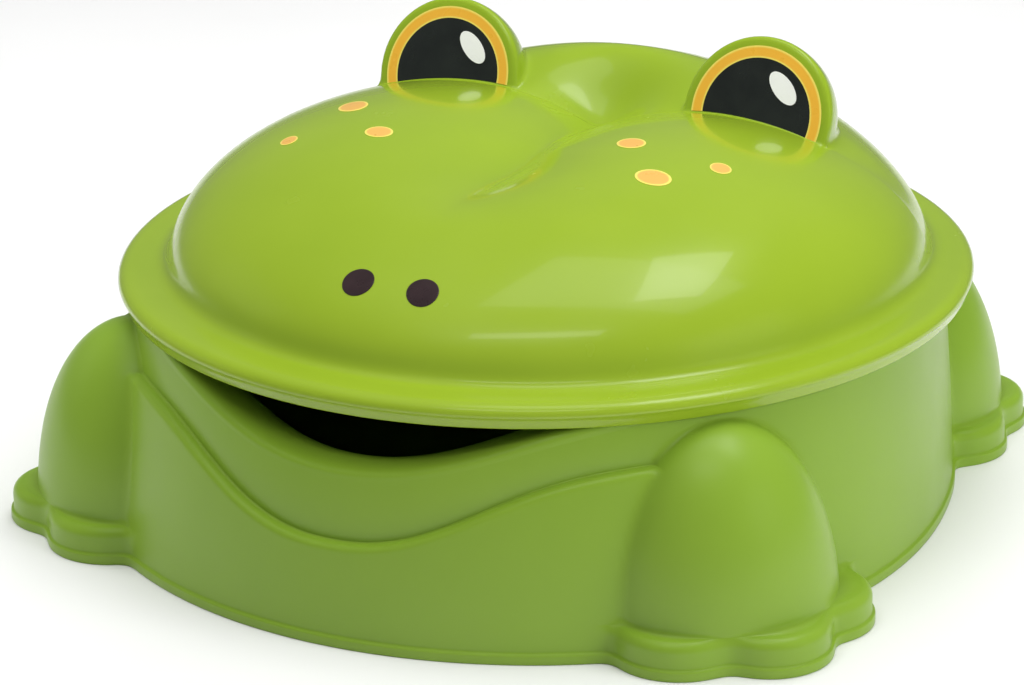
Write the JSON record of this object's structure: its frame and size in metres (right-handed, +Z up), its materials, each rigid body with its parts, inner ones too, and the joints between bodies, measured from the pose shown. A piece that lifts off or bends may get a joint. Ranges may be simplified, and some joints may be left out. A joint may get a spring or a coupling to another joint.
{
  "type": "sandbox with cover",
  "caption": "Round children's sandbox shaped as a frog: a hollow moulded tub on toed feet, with a mouth gap in its rim, and a domed lift-off cover with decal eyes.",
  "frame": {"origin": "on the ground, under the middle of the round cover, at the underside of the tub's floor", "axes": "+Z up; -Y towards the front, where the mouth is; +X towards the frog's left"},
  "size_m": [0.943, 0.943, 0.461],
  "materials": {
    "tub_plastic": "satin, finely textured, moulded in lime green",
    "cover_plastic": "high gloss, moulded in lime green",
    "ring_vinyl": "printed vinyl, amber with pale yellow borders",
    "pupil_vinyl": "printed vinyl, near black",
    "glint_vinyl": "printed vinyl, white",
    "nostril_vinyl": "printed vinyl, dark brown",
    "freckle_vinyl": "printed vinyl, orange with pale yellow borders"
  },
  "bodies": {
    "tub": {"tub": "tub_plastic"},
    "cover": {"lid": "cover_plastic", "left_eye_ring": "ring_vinyl", "left_eye_pupil": "pupil_vinyl", "left_eye_glint": "glint_vinyl", "right_eye_ring": "ring_vinyl", "right_eye_pupil": "pupil_vinyl", "right_eye_glint": "glint_vinyl", "left_nostril": "nostril_vinyl", "right_nostril": "nostril_vinyl", "left_freckle_inner": "freckle_vinyl", "left_freckle_middle": "freckle_vinyl", "left_freckle_outer": "freckle_vinyl", "right_freckle_inner": "freckle_vinyl", "right_freckle_middle": "freckle_vinyl", "right_freckle_outer": "freckle_vinyl"}
  },
  "joints": [
    {"name": "cover_lift", "type": "slide", "parent": "tub", "child": "cover", "axis": [0, 0, 1], "range_m": [0, 0.3]}
  ]
}
